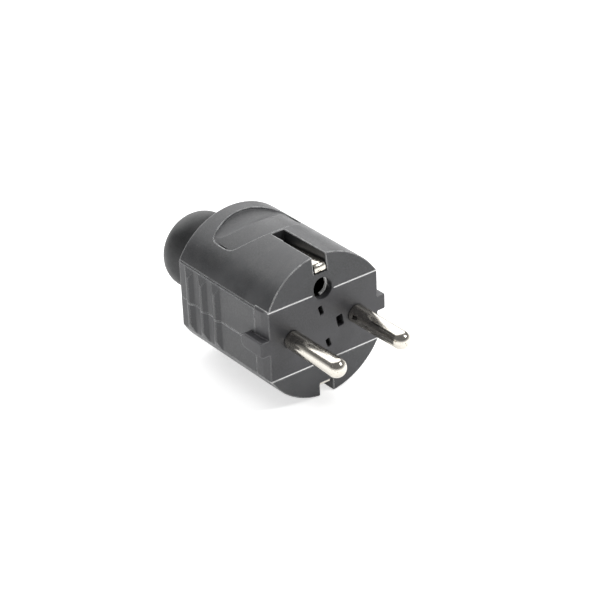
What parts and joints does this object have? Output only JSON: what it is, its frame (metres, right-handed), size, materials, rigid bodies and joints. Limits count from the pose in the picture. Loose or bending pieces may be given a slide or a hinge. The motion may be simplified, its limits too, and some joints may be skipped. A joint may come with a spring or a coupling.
{
  "type": "schuko plug",
  "caption": "Straight rewirable mains plug with round contact pins, earth grooves, an earth-pin socket, side guide lugs and a rubber bend-protection grommet.",
  "frame": {"origin": "centre of the engagement face, midway between the two contact pins", "axes": "+Y from the engagement face back towards the cable entry, so the pins point along -Y; +X towards the right-hand pin as the pins' side is looked at; +Z towards the earth-pin socket"},
  "size_m": [0.0368, 0.075, 0.037],
  "materials": {
    "housing": "satin",
    "carrier": "satin",
    "nickel": "polished",
    "steel": "satin",
    "brass": "satin",
    "rubber": "matte"
  },
  "bodies": {
    "root": {"upper_shell": "housing", "lower_shell": "housing", "contact_carrier": "carrier", "pin_left": "nickel", "pin_right": "nickel", "terminal_screw_left": "steel", "terminal_screw_right": "steel", "earth_bracket": "nickel", "earth_socket_sleeve": "nickel", "sleeve_rivet": "brass", "terminal_rivet": "brass", "earth_terminal": "brass", "earth_terminal_screw": "steel", "cord_clamp_bar": "carrier", "cord_clamp_screw_left": "steel", "cord_clamp_screw_right": "steel", "housing_screw_left": "steel", "housing_screw_right": "steel", "housing_nut_left": "brass", "housing_nut_right": "brass", "cable_grommet": "rubber"}
  },
  "joints": []
}
